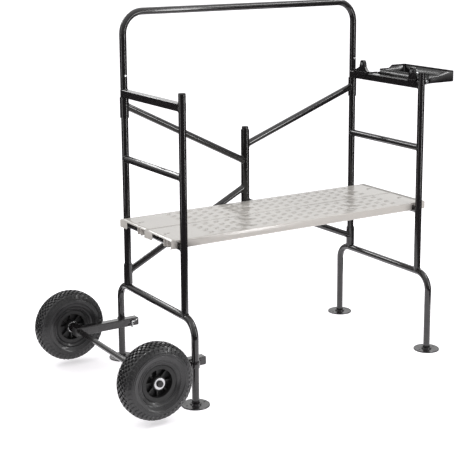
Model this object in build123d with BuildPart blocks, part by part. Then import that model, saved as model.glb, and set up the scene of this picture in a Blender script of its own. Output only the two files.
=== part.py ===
from build123d import *
import math
import os

# Baker scaffold: two tubular end frames, a folding rear gate, a guard hoop, two deck planks,
# a tool tray and a pair of pneumatic tires on an axle. Millimeters, +Z up, guard hoop at +Y.

os.makedirs("parts", exist_ok=True)

# ---------------------------------------------------------------- driving dimensions
frame_half_span = 511.0  # scaffold middle to the post axes, along X
post_half_depth = 210.0  # middle to the post axes, along Y
leg_half_depth = 276.0  # middle to the splayed leg axes, along Y
tube_od = 25.4
tube_wall = 1.5
tube_r = tube_od / 2
tube_bore_r = tube_r - tube_wall

foot_diameter = 97.5
foot_thickness = 4.0
foot_collar_diameter = 40.0
foot_collar_height = 5.0
foot_screw_spacing = 68.0
foot_screw_diameter = 7.0

bow_height = 294.0  # axis of the inverted-U leg tube's top run
bow_bend = 60.0
post_top = 1055.6
deck_rung_height = 534.0
middle_rung_height = 774.0
top_rung_bottom = 998.0
top_rung_width = 28.0
top_rung_height = 27.0
top_rung_wall = 1.5
top_rung_top = top_rung_bottom + top_rung_height

sleeve_od = 32.0
sleeve_bore = 26.0
sleeve_length = 74.0
lower_sleeve_bottom = bow_height + tube_r + 0.3
upper_sleeve_bottom = top_rung_bottom - sleeve_length
brace_od = 25.0
gate_tube_bottom = 485.0
gate_tube_top = 842.0
knuckle_levels = (501.0, 581.0, 744.0, 834.0)  # joints between the stacked center knuckles
knuckle_gap = 0.5

hoop_height = 1300.0  # axis of the guard hoop's top run
hoop_bend = 78.0
spigot_od = 22.0
spigot_wall = 1.8
spigot_reach = 45.0  # length of spigot in the post and in the hoop leg
button_above_joint = 19.4
button_diameter = 8.8
button_proud = 3.5
button_flange_r = 5.6

deck_top = 559.0
plank_start = -549.0  # plank ends, from the scaffold middle
plank_end = 559.0
plank_width = 189.0
plank_seam = 2.0
plank_depth = 29.0
plank_sheet = 2.0
plank_lip = 10.0
hook_tip = 24.0  # flange stub outside the rung
rung_notch = 38.0  # opening in the flange for the rung
end_tab_width = 52.0
hook_slot_start = 25.0
hook_slot_width = 36.0
hook_slot_top = deck_rung_height + tube_r + 0.3
hook_plate_depth = 27.0
hook_plate_length = 92.0
hook_plate_thickness = 4.0
hook_plate_offsets = (132.0, 154.0)  # from each plank's rear edge
drain_slot_from_end = 40.0
stiffener_width = 60.0
stiffener_depth = 20.0
stiffener_sheet = 1.5

tray_inner = 560.0  # tray walls, from the scaffold middle
tray_outer = 690.0
tray_front = -190.0
tray_rear = 103.0
tray_bottom = 1009.6
tray_low = 1040.0
tray_high = 1051.5
tray_step = (610.0, 625.0)
tray_sheet = 1.5
tray_pivot_x = 549.0
tray_pivot_z = 1018.5
tray_lug_r = 8.9
bracket_plate = 3.5
bracket_lug_plate = 4.0
bracket_fin = 12.0
bracket_lip = 8.0
bracket_clearance = 0.3
bracket_top = 1074.0
bracket_bolt_height = 1060.0
tray_gap = 0.3

axle_reach = 697.0  # scaffold middle to the axle
axle_height = 146.0
axle_diameter = 20.0
wheel_half_track = 335.0
wheel_diameter = 260.0
tire_width = 82.0
rim_width = 60.0
rim_flange_diameter = 123.0
rim_well_diameter = 96.0
hub_diameter = 46.0
hub_width = 62.0
rim_web = 10.0
rim_ribs = 8
bearing_diameter = 39.0
bearing_length = 13.0
axle_cap_r = 11.8
spacer_r = 18.0
axle_fit = 0.05
arm_size = 30.0
arm_wall = 2.0
arm_rear_end = 714.0  # arm ends, from the scaffold middle toward the wheels
arm_front_end = 463.5
arm_y = leg_half_depth - tube_r - arm_size / 2
strap_height = 24.0
strap_thickness = 3.0
bolt_diameter = 8.0
clamp_bolt_x = 486.0
saddle_fit = 0.05  # the notches are this much larger than the tubes they sit on

# ---------------------------------------------------------------- places worked out from them
middle_x = (axle_reach + wheel_diameter / 2 - tray_outer) / 2
frame_x = {"left": middle_x - frame_half_span, "right": middle_x + frame_half_span}
row_y = {"front": -post_half_depth, "rear": post_half_depth}
row_sign = {"front": -1, "rear": 1}
axle_x = middle_x - axle_reach


# ---------------------------------------------------------------- shared operations
def save(piece, label):
    piece.part.label = label
    export_step(piece.part, f"parts/{label}.step")


def rod(start, end, radius):
    """A solid round bar between two points, used to cut saddles, bores and holes."""
    run = Vector(*end) - Vector(*start)
    with BuildPart() as bar:
        with BuildSketch(Plane(origin=start, z_dir=run)):
            Circle(radius)
        extrude(amount=run.length)
    return bar.part


def coped_tube(label, start, end, outer, wall, cuts=()):
    """A straight tube whose ends are notched over the tubes it is welded to."""
    run = Vector(*end) - Vector(*start)
    with BuildPart() as tube:
        with BuildSketch(Plane(origin=start, z_dir=run)):
            Circle(outer / 2)
            Circle(outer / 2 - wall, mode=Mode.SUBTRACT)
        extrude(amount=run.length)
        for cut in cuts:
            add(cut, mode=Mode.SUBTRACT)
    save(tube, label)


def bent_tube(label, corners, bend, cuts=()):
    """One length of tube bent to the same radius at each inner corner."""
    with BuildPart() as tube:
        with BuildLine():
            FilletPolyline(*corners, radius=bend)
        with BuildSketch(Plane(origin=corners[0], z_dir=Vector(*corners[1]) - Vector(*corners[0]))):
            Circle(tube_r)
            Circle(tube_bore_r, mode=Mode.SUBTRACT)
        sweep()
        for cut in cuts:
            add(cut, mode=Mode.SUBTRACT)
    save(tube, label)


def wing_nut(label, seat, away, wing_dir, bore_r):
    """A wing nut standing on the point seat, its axis along away and its wings along wing_dir."""
    base_r, base_h = 8.0, 6.0
    neck_r, height = 6.0, 11.0
    wing_reach, wing_top, wing_thickness = 18.0, 19.0, 3.0
    axis_plane = Plane(origin=seat, x_dir=wing_dir, z_dir=away)
    side_plane = Plane(origin=seat, x_dir=wing_dir, z_dir=Vector(*wing_dir).cross(Vector(*away)))
    with BuildPart() as nut:
        with BuildSketch(axis_plane):
            Circle(base_r)
        extrude(amount=base_h)
        with BuildSketch(axis_plane.offset(base_h)):
            Circle(neck_r)
        extrude(amount=height - base_h)
        with BuildSketch(side_plane):
            for turn in (1, -1):
                with BuildLine():
                    Polyline(
                        (turn * 2.0, 1.0),
                        (turn * (base_r + 1), 3.0),
                        (turn * wing_reach, wing_top - 6.0),
                        (turn * (wing_reach - 1.5), wing_top),
                        (turn * (wing_reach - 6.5), wing_top - 1.5),
                        (turn * 2.0, height - 2.0),
                        close=True,
                    )
                make_face()
        extrude(amount=wing_thickness / 2, both=True)
        with BuildSketch(axis_plane.offset(-1)):
            Circle(bore_r)
        extrude(amount=wing_top + 2, mode=Mode.SUBTRACT)
    save(nut, label)


# ---------------------------------------------------------------- end frames
for side, x in frame_x.items():
    bow_saddle = rod(
        (x, -leg_half_depth, bow_height), (x, leg_half_depth, bow_height), tube_r + saddle_fit
    )
    posts = [rod((x, y, bow_height), (x, y, post_top), tube_r + saddle_fit) for y in row_y.values()]

    bent_tube(
        f"{side}_leg_bow",
        [
            (x, -leg_half_depth, foot_thickness),
            (x, -leg_half_depth, bow_height),
            (x, leg_half_depth, bow_height),
            (x, leg_half_depth, foot_thickness),
        ],
        bow_bend,
    )

    for row, y in row_y.items():
        coped_tube(
            f"{side}_{row}_post", (x, y, bow_height), (x, y, post_top), tube_od, tube_wall, [bow_saddle]
        )

    for name, height in (("middle_rung", middle_rung_height), ("deck_rung", deck_rung_height)):
        coped_tube(
            f"{side}_{name}",
            (x, -post_half_depth, height),
            (x, post_half_depth, height),
            tube_od,
            tube_wall,
            posts,
        )

    rung_section = Plane(
        origin=(x, -post_half_depth, top_rung_bottom + top_rung_height / 2),
        x_dir=(1, 0, 0),
        z_dir=(0, 1, 0),
    )
    with BuildPart() as top_rung:
        with BuildSketch(rung_section):
            RectangleRounded(top_rung_width, top_rung_height, 3)
            RectangleRounded(
                top_rung_width - 2 * top_rung_wall,
                top_rung_height - 2 * top_rung_wall,
                1.5,
                mode=Mode.SUBTRACT,
            )
        extrude(amount=2 * post_half_depth)
        for post in posts:
            add(post, mode=Mode.SUBTRACT)
    save(top_rung, f"{side}_top_rung")

    # Round foot plates, each with a raised collar around its leg and two screw holes.
    for row, sign in row_sign.items():
        with BuildPart() as foot:
            with Locations((x, sign * leg_half_depth, 0)):
                Cylinder(
                    foot_diameter / 2, foot_thickness, align=(Align.CENTER, Align.CENTER, Align.MIN)
                )
            chamfer(foot.edges().filter_by(GeomType.CIRCLE).group_by(Axis.Z)[-1], 1.2)
            with BuildSketch(Plane.XY.offset(foot_thickness)):
                with Locations((x, sign * leg_half_depth)):
                    Circle(foot_collar_diameter / 2)
                    Circle(tube_r + 0.05, mode=Mode.SUBTRACT)
            extrude(amount=foot_collar_height, taper=20)
            with Locations(Plane.XY.offset(foot_thickness)):
                with Locations(
                    (x - foot_screw_spacing / 2, sign * leg_half_depth),
                    (x + foot_screw_spacing / 2, sign * leg_half_depth),
                ):
                    Hole(foot_screw_diameter / 2)
        save(foot, f"{side}_{row}_foot")

# ---------------------------------------------------------------- folding gate at the rear
gate_y = post_half_depth
sleeve_r = sleeve_od / 2
saddle_r = sleeve_r + saddle_fit
center_cut = rod((middle_x, gate_y, gate_tube_bottom), (middle_x, gate_y, gate_tube_top), saddle_r)
brace_ends = {
    "left_gate_upper_brace": ("left", 969.0, 710.0),
    "left_gate_lower_brace": ("left", 352.0, 613.0),
    "right_gate_upper_brace": ("right", 964.5, 773.0),
    "right_gate_lower_brace": ("right", 343.0, 555.0),
}
for label, (side, outer_z, center_z) in brace_ends.items():
    x = frame_x[side]
    sleeve_cut = rod((x, gate_y, outer_z - 100), (x, gate_y, outer_z + 100), saddle_r)
    coped_tube(
        label,
        (x, gate_y, outer_z),
        (middle_x, gate_y, center_z),
        brace_od,
        tube_wall,
        [sleeve_cut, center_cut],
    )

for side, x in frame_x.items():
    with BuildPart() as sleeves:
        for bottom in (lower_sleeve_bottom, upper_sleeve_bottom):
            with BuildSketch(Plane.XY.offset(bottom)):
                with Locations((x, gate_y)):
                    Circle(sleeve_r)
                    Circle(sleeve_bore / 2, mode=Mode.SUBTRACT)
            extrude(amount=sleeve_length)
    save(sleeves, f"{side}_gate_sleeves")

low, mid_low, mid_high, high = knuckle_levels
knuckle_runs = {
    "left_gate_knuckle": [(mid_low, mid_high)],
    "right_gate_knuckles": [(low, mid_low), (mid_high, high)],
}
for label, runs in knuckle_runs.items():
    with BuildPart() as knuckles:
        for bottom, top in runs:
            with BuildSketch(Plane.XY.offset(bottom + knuckle_gap / 2)):
                with Locations((middle_x, gate_y)):
                    Circle(sleeve_r)
                    Circle(sleeve_bore / 2, mode=Mode.SUBTRACT)
            extrude(amount=top - bottom - knuckle_gap)
    save(knuckles, label)

coped_tube(
    "gate_hinge_tube",
    (middle_x, gate_y, gate_tube_bottom),
    (middle_x, gate_y, gate_tube_top),
    tube_od,
    tube_wall,
)

# Push-in plastic caps: the two front posts, and both ends of the gate's hinge tube.
cap_depth, cap_head = 12.0, 3.0
cap_places = [
    (frame_x["left"], -post_half_depth, post_top, 1),
    (frame_x["right"], -post_half_depth, post_top, 1),
    (middle_x, gate_y, gate_tube_top, 1),
    (middle_x, gate_y, gate_tube_bottom, -1),
]
with BuildPart() as tube_caps:
    for x, y, z, way in cap_places:
        with BuildSketch(Plane(origin=(x, y, z - way * cap_depth), z_dir=(0, 0, way))):
            Circle(tube_bore_r - 0.05)
        extrude(amount=cap_depth)
        with BuildSketch(Plane(origin=(x, y, z), z_dir=(0, 0, way))):
            Circle(tube_r)
        extrude(amount=cap_head, taper=18)
save(tube_caps, "tube_caps")

# ---------------------------------------------------------------- guard hoop
button_z = post_top + button_above_joint
hoop_front = gate_y - tube_r
button_holes = [
    rod((x, hoop_front - 5, button_z), (x, gate_y, button_z), button_diameter / 2 + 0.35)
    for x in frame_x.values()
]
bent_tube(
    "guard_hoop",
    [
        (frame_x["left"], gate_y, post_top),
        (frame_x["left"], gate_y, hoop_height),
        (frame_x["right"], gate_y, hoop_height),
        (frame_x["right"], gate_y, post_top),
    ],
    hoop_bend,
    button_holes,
)

with BuildPart() as hoop_spigots:
    for x in frame_x.values():
        with BuildSketch(Plane.XY.offset(post_top - spigot_reach)):
            with Locations((x, gate_y)):
                Circle(spigot_od / 2)
                Circle(spigot_od / 2 - spigot_wall, mode=Mode.SUBTRACT)
        extrude(amount=2 * spigot_reach)
    for button_hole in button_holes:
        add(button_hole, mode=Mode.SUBTRACT)
save(hoop_spigots, "hoop_spigots")

# Each button is a domed pin with a flange behind the spigot wall, pushed out by a V leaf spring.
flange_y = gate_y - math.sqrt((spigot_od / 2 - spigot_wall) ** 2 - button_flange_r**2) + 0.2
button_tip_y = hoop_front - button_proud
flange_thickness = 1.2
for side, x in frame_x.items():
    with BuildPart() as button:
        with BuildSketch(Plane(origin=(x, flange_y, button_z), z_dir=(0, -1, 0))):
            Circle(button_diameter / 2)
        extrude(amount=flange_y - button_tip_y)
        fillet(button.edges().sort_by(Axis.Y)[0], 2.2)
        with BuildSketch(Plane(origin=(x, flange_y, button_z), z_dir=(0, 1, 0))):
            Circle(button_flange_r)
        extrude(amount=flange_thickness)
    save(button, f"{side}_snap_button")

    leaf_y = flange_y + flange_thickness + 0.7
    back_y = gate_y + 7.4
    with BuildPart() as spring:
        with BuildLine():
            FilletPolyline(
                (x, leaf_y, button_z + 5),
                (x, leaf_y, button_z - 12),
                (x, (leaf_y + back_y) / 2, button_z - 48),
                (x, back_y, button_z - 12),
                (x, back_y, button_z + 5),
                radius=3,
            )
        with BuildSketch(Plane(origin=(x, leaf_y, button_z + 5), z_dir=(0, 0, -1))):
            Rectangle(7.0, 0.8)
        sweep()
    save(spring, f"{side}_button_spring")

# ---------------------------------------------------------------- deck planks
plank_rear = {"front": -plank_seam / 2, "rear": plank_seam / 2 + plank_width}
plank_start_x = middle_x + plank_start
plank_end_x = middle_x + plank_end
plank_length = plank_end - plank_start
under_sheet = deck_top - plank_sheet
hook_bottom = under_sheet - hook_plate_depth
hook_slot_end = hook_slot_start + hook_slot_width


def from_ends(distance):
    """The X positions a distance in from the two plank ends."""
    return plank_start_x + distance, plank_end_x - distance


for row, rear_y in plank_rear.items():
    front_y = rear_y - plank_width
    center_y = rear_y - plank_width / 2
    inner_width = plank_width - 2 * plank_sheet
    with BuildPart() as plank:
        with BuildSketch(
            Plane(origin=(plank_start_x, center_y, deck_top), x_dir=(0, 1, 0), z_dir=(1, 0, 0))
        ):
            with Locations((0, -plank_depth / 2)):
                RectangleRounded(plank_width, plank_depth, 2.5)
                Rectangle(inner_width, plank_depth - 2 * plank_sheet, mode=Mode.SUBTRACT)
            with Locations((0, -plank_depth)):
                Rectangle(plank_width - 2 * plank_lip, 3 * plank_sheet, mode=Mode.SUBTRACT)
        extrude(amount=plank_length)

        # The flanges and lips stop short so that the plank drops over its rungs.
        notch_middle = hook_tip + rung_notch / 2
        for notch_x in from_ends(notch_middle):
            with Locations((notch_x, center_y, under_sheet - 0.5)):
                Box(
                    rung_notch,
                    plank_width + 2,
                    plank_depth,
                    align=(Align.CENTER, Align.CENTER, Align.MAX),
                    mode=Mode.SUBTRACT,
                )
        # A folded end tab closes the rear corner of each end.
        for tab_x in from_ends(plank_sheet / 2):
            with Locations((tab_x, rear_y - plank_sheet, deck_top - plank_sheet)):
                Box(
                    plank_sheet,
                    end_tab_width,
                    plank_depth - plank_sheet,
                    align=(Align.CENTER, Align.MAX, Align.MAX),
                )
        # One small drain slot near each end.
        for hole_x in from_ends(drain_slot_from_end):
            with BuildSketch(Plane.XY.offset(deck_top)):
                with Locations((hole_x, center_y + 8)):
                    SlotOverall(14, 6)
            extrude(amount=-2 * plank_sheet, mode=Mode.SUBTRACT)
    save(plank, f"{row}_plank")

    with BuildPart() as hooks:
        for end_x, inward in ((plank_start_x, 1), (plank_end_x, -1)):
            for offset_y in hook_plate_offsets:
                plate_y = rear_y - offset_y
                with BuildSketch(
                    Plane(origin=(end_x, plate_y, 0), x_dir=(inward, 0, 0), z_dir=(0, -inward, 0))
                ):
                    with BuildLine():
                        Polyline(
                            (3, under_sheet),
                            (3, hook_bottom),
                            (hook_slot_start, hook_bottom),
                            (hook_slot_start, hook_slot_top),
                            (hook_slot_end, hook_slot_top),
                            (hook_slot_end, hook_bottom),
                            (hook_plate_length - 14, hook_bottom),
                            (hook_plate_length, under_sheet),
                            close=True,
                        )
                    make_face()
                extrude(amount=hook_plate_thickness / 2, both=True)
    save(hooks, f"{row}_plank_hooks")

    with BuildPart() as stiffener:
        start_x = plank_start_x + hook_plate_length + 10
        with BuildSketch(
            Plane(origin=(start_x, center_y, under_sheet), x_dir=(0, 1, 0), z_dir=(1, 0, 0))
        ):
            with Locations((0, -stiffener_depth / 2)):
                Rectangle(stiffener_width, stiffener_depth)
            with Locations((0, -stiffener_depth / 2 + stiffener_sheet)):
                Rectangle(
                    stiffener_width - 2 * stiffener_sheet, stiffener_depth, mode=Mode.SUBTRACT
                )
            with Locations((0, -stiffener_sheet / 2)):
                Rectangle(stiffener_width + 24, stiffener_sheet)
                Rectangle(stiffener_width - 2 * stiffener_sheet, stiffener_sheet, mode=Mode.SUBTRACT)
        extrude(amount=plank_length - 2 * (hook_plate_length + 10))
    save(stiffener, f"{row}_plank_stiffener")

# ---------------------------------------------------------------- tool tray
tray_x0 = middle_x + tray_inner
tray_x1 = middle_x + tray_outer
pivot_x = middle_x + tray_pivot_x
step_low_x, step_high_x = (middle_x + value for value in tray_step)
with BuildPart() as tray:
    with BuildSketch(Plane(origin=(0, tray_rear, 0), x_dir=(1, 0, 0), z_dir=(0, -1, 0))):
        with BuildLine():
            Polyline(
                (tray_x0, tray_bottom),
                (tray_x1, tray_bottom),
                (tray_x1, tray_high),
                (step_high_x, tray_high),
                (step_low_x, tray_low),
                (tray_x0, tray_low),
                close=True,
            )
        make_face()
    extrude(amount=tray_rear - tray_front)
    with BuildSketch(Plane.XY.offset(tray_bottom + tray_sheet)):
        with Locations(((tray_x0 + tray_x1) / 2, (tray_front + tray_rear) / 2)):
            Rectangle(
                tray_x1 - tray_x0 - 2 * tray_sheet, tray_rear - tray_front - 2 * tray_sheet
            )
    extrude(amount=tray_high, mode=Mode.SUBTRACT)
    for wall_y in (tray_front + tray_sheet, tray_rear):
        with BuildSketch(Plane(origin=(0, wall_y, 0), x_dir=(1, 0, 0), z_dir=(0, -1, 0))):
            with Locations((pivot_x, tray_pivot_z)):
                Circle(tray_lug_r)
            with Locations((pivot_x, tray_pivot_z)):
                Rectangle(
                    tray_x0 - pivot_x + 2, 2 * tray_lug_r, align=(Align.MIN, Align.CENTER)
                )
        extrude(amount=tray_sheet)
    add(
        rod(
            (pivot_x, tray_front - 5, tray_pivot_z),
            (pivot_x, tray_rear + 5, tray_pivot_z),
            bolt_diameter / 2 + axle_fit,
        ),
        mode=Mode.SUBTRACT,
    )
save(tray, "tray")

# Saddle brackets: a plate folded over the top rung, and a thick fin on it that takes the bolt.
rung_in = frame_x["right"] - top_rung_width / 2 - bracket_clearance
rung_out = frame_x["right"] + top_rung_width / 2 + bracket_clearance
saddle_bottom = top_rung_top + bracket_clearance
saddle_top = saddle_bottom + bracket_plate
bracket_shapes = {
    "rear": {"y": 131.0, "toward_front": 33.0, "toward_rear": 50.0, "lug": 1, "wall": tray_rear},
    "front": {"y": -169.0, "toward_front": 24.0, "toward_rear": 20.0, "lug": -1, "wall": tray_front},
}
for row, shape in bracket_shapes.items():
    fin_y = shape["y"]
    front_end = fin_y - shape["toward_front"]
    bracket_run = shape["toward_front"] + shape["toward_rear"]
    with BuildPart() as bracket:
        with BuildSketch(Plane.YZ.offset(rung_in)):
            with BuildLine():
                Polyline(
                    (front_end, saddle_bottom),
                    (front_end, saddle_top + 2),
                    (fin_y - 17, saddle_top + 20),
                    (fin_y - 11, bracket_top - 4),
                    (fin_y - 6, bracket_top),
                    (fin_y + 6, bracket_top),
                    (fin_y + 11, bracket_top - 4),
                    (fin_y + 17, saddle_top + 18),
                    (front_end + bracket_run, saddle_top + 2),
                    (front_end + bracket_run, saddle_bottom),
                    close=True,
                )
            make_face()
        extrude(amount=bracket_fin)
        saddle_walls = [
            (rung_in - bracket_plate, rung_out + bracket_plate, saddle_bottom),
            (rung_in - bracket_plate, rung_in, saddle_bottom - bracket_lip),
            (rung_out, rung_out + bracket_plate, top_rung_bottom + 6),
        ]
        for wall_in, wall_out, wall_bottom in saddle_walls:
            with Locations(((wall_in + wall_out) / 2, front_end, wall_bottom)):
                Box(
                    wall_out - wall_in,
                    bracket_run,
                    saddle_top - wall_bottom,
                    align=(Align.CENTER, Align.MIN, Align.MIN),
                )
        # The lug that carries the tray's pivot bolt stands outside the tray wall.
        lug_y = shape["wall"] + shape["lug"] * (tray_gap + bracket_lug_plate / 2)
        with BuildSketch(Plane(origin=(0, lug_y, 0), x_dir=(1, 0, 0), z_dir=(0, -1, 0))):
            with Locations((pivot_x, tray_pivot_z)):
                Circle(tray_lug_r + 1)
                Rectangle(
                    pivot_x - rung_out, 2 * (tray_lug_r + 1), align=(Align.MAX, Align.CENTER)
                )
        extrude(amount=bracket_lug_plate / 2, both=True)
        add(
            rod(
                (rung_in - 20, fin_y, bracket_bolt_height),
                (rung_in + 20, fin_y, bracket_bolt_height),
                bolt_diameter / 2 + axle_fit,
            ),
            mode=Mode.SUBTRACT,
        )
        add(
            rod(
                (pivot_x, lug_y - 10, tray_pivot_z),
                (pivot_x, lug_y + 10, tray_pivot_z),
                bolt_diameter / 2,
            ),
            mode=Mode.SUBTRACT,
        )
    save(bracket, f"{row}_tray_bracket")

# Pivot bolts: head outside the bracket lug, shank through the tray wall, nut inside.
head_r, head_h = 6.5, 5.0
with BuildPart() as pivot_bolts:
    for shape in bracket_shapes.values():
        out = shape["lug"]
        head_y = shape["wall"] + out * (tray_gap + bracket_lug_plate)
        with BuildSketch(Plane(origin=(pivot_x, head_y, tray_pivot_z), z_dir=(0, out, 0))):
            Circle(head_r)
        extrude(amount=head_h, taper=15)
        with BuildSketch(Plane(origin=(pivot_x, head_y, tray_pivot_z), z_dir=(0, -out, 0))):
            Circle(bolt_diameter / 2)
        extrude(amount=bracket_lug_plate + tray_gap + tray_sheet + tray_gap)
        nut_y = shape["wall"] - out * (tray_sheet + tray_gap)
        with BuildSketch(Plane(origin=(pivot_x, nut_y, tray_pivot_z), z_dir=(0, -out, 0))):
            RegularPolygon(head_r, 6)
        extrude(amount=6)
save(pivot_bolts, "tray_pivot_bolts")

fin_back = rung_in + bracket_fin
with BuildPart() as bracket_bolts:
    for row, shape in bracket_shapes.items():
        with BuildSketch(Plane(origin=(rung_in, shape["y"], bracket_bolt_height), z_dir=(-1, 0, 0))):
            RegularPolygon(head_r, 6)
        extrude(amount=head_h)
        with BuildSketch(Plane(origin=(rung_in, shape["y"], bracket_bolt_height), z_dir=(1, 0, 0))):
            Circle(bolt_diameter / 2)
        extrude(amount=bracket_fin + (14 if row == "front" else 8))
        if row == "rear":
            with BuildSketch(Plane(origin=(fin_back, shape["y"], bracket_bolt_height), z_dir=(1, 0, 0))):
                RegularPolygon(head_r, 6)
            extrude(amount=6)
save(bracket_bolts, "bracket_bolts")

wing_nut(
    "bracket_wing_nut",
    (fin_back + 0.3, bracket_shapes["front"]["y"], bracket_bolt_height),
    (1, 0, 0),
    (0, 0.8, 0.6),
    bolt_diameter / 2 + axle_fit,
)

# ---------------------------------------------------------------- wheel carriage
axle_half = wheel_half_track + hub_width / 2 + 6
with BuildPart() as axle:
    with BuildSketch(Plane(origin=(axle_x, -axle_half, axle_height), z_dir=(0, 1, 0))):
        Circle(axle_diameter / 2)
    extrude(amount=2 * axle_half)
    chamfer(axle.edges().filter_by(GeomType.CIRCLE), 1)
save(axle, "axle")

arm_start_x = middle_x - arm_rear_end
arm_stop_x = middle_x - arm_front_end
arm_length = arm_stop_x - arm_start_x
strap_outer_r = tube_r + strap_thickness
left_leg_x = frame_x["left"]
bolt_x = middle_x - clamp_bolt_x
wing_seat = {"front": (-arm_y + arm_size / 2 + 0.3, 1), "rear": (arm_y - arm_size / 2 - 0.3, -1)}
for row, sign in row_sign.items():
    arm_section = Plane(
        origin=(arm_start_x, sign * arm_y, axle_height), x_dir=(0, 1, 0), z_dir=(1, 0, 0)
    )
    with BuildPart() as arm:
        with BuildSketch(arm_section):
            RectangleRounded(arm_size, arm_size, 3)
            RectangleRounded(arm_size - 2 * arm_wall, arm_size - 2 * arm_wall, 1, mode=Mode.SUBTRACT)
        extrude(amount=arm_length)
        add(
            rod(
                (axle_x, sign * arm_y - arm_size, axle_height),
                (axle_x, sign * arm_y + arm_size, axle_height),
                axle_diameter / 2 + axle_fit,
            ),
            mode=Mode.SUBTRACT,
        )
        add(
            rod(
                (bolt_x, sign * arm_y - arm_size, axle_height),
                (bolt_x, sign * arm_y + arm_size, axle_height),
                bolt_diameter / 2 + axle_fit,
            ),
            mode=Mode.SUBTRACT,
        )
    save(arm, f"{row}_wheel_arm")
    seat_y, away = wing_seat[row]
    wing_nut(
        f"{row}_clamp_wing_nut",
        (bolt_x, seat_y, axle_height),
        (0, away, 0),
        (0.6, 0, 0.8),
        bolt_diameter / 2 + axle_fit,
    )

# Plastic plugs in both ends of each arm, with a rounded head.
plug_depth, plug_head = 8.0, 4.0
plug_size = arm_size - 2 * arm_wall
with BuildPart() as arm_plugs:
    for sign in row_sign.values():
        for end_x, out in ((arm_start_x, -1), (arm_stop_x, 1)):
            with BuildSketch(
                Plane(
                    origin=(end_x, sign * arm_y, axle_height), x_dir=(0, 1, 0), z_dir=(-out, 0, 0)
                )
            ):
                RectangleRounded(plug_size - 0.1, plug_size - 0.1, 1)
            extrude(amount=5.0 if out == -1 else plug_depth)
            with BuildSketch(
                Plane(
                    origin=(end_x, sign * arm_y, axle_height), x_dir=(0, 1, 0), z_dir=(out, 0, 0)
                )
            ):
                RectangleRounded(arm_size, arm_size, 3)
            extrude(amount=plug_head, taper=35)
save(arm_plugs, "arm_plugs")

# A strap wraps each leg and is bolted flat to the arm beside it.
with BuildPart() as straps:
    for sign in row_sign.values():
        ear_y = sign * (leg_half_depth - tube_r + strap_thickness / 2)
        with BuildSketch(Plane.XY.offset(axle_height - strap_height / 2)):
            with Locations((left_leg_x, sign * leg_half_depth)):
                Circle(strap_outer_r + 0.05)
                Rectangle(
                    2 * strap_outer_r,
                    2 * strap_outer_r,
                    align=(Align.CENTER, Align.MAX if sign == 1 else Align.MIN),
                )
            with Locations((bolt_x + 12, ear_y)):
                Rectangle(
                    bolt_x + 12 - left_leg_x + tube_r + 18,
                    strap_thickness,
                    align=(Align.MAX, Align.CENTER),
                )
            with Locations((left_leg_x, sign * leg_half_depth)):
                Circle(tube_r + 0.05, mode=Mode.SUBTRACT)
            with Locations((left_leg_x, sign * (leg_half_depth - tube_r))):
                Rectangle(
                    200, 60, align=(Align.CENTER, Align.MAX if sign == 1 else Align.MIN),
                    mode=Mode.SUBTRACT,
                )
        extrude(amount=strap_height)
        add(
            rod(
                (bolt_x, ear_y - 10, axle_height),
                (bolt_x, ear_y + 10, axle_height),
                bolt_diameter / 2 + axle_fit,
            ),
            mode=Mode.SUBTRACT,
        )
save(straps, "leg_clamp_straps")

with BuildPart() as clamp_bolts:
    for sign in row_sign.values():
        head_y = sign * (leg_half_depth - tube_r + strap_thickness)
        with BuildSketch(Plane(origin=(bolt_x, head_y, axle_height), z_dir=(0, sign, 0))):
            RegularPolygon(head_r, 6)
        extrude(amount=head_h)
        with BuildSketch(Plane(origin=(bolt_x, head_y, axle_height), z_dir=(0, -sign, 0))):
            Circle(bolt_diameter / 2)
        extrude(amount=strap_thickness + arm_size + 16)
save(clamp_bolts, "clamp_bolts")

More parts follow.
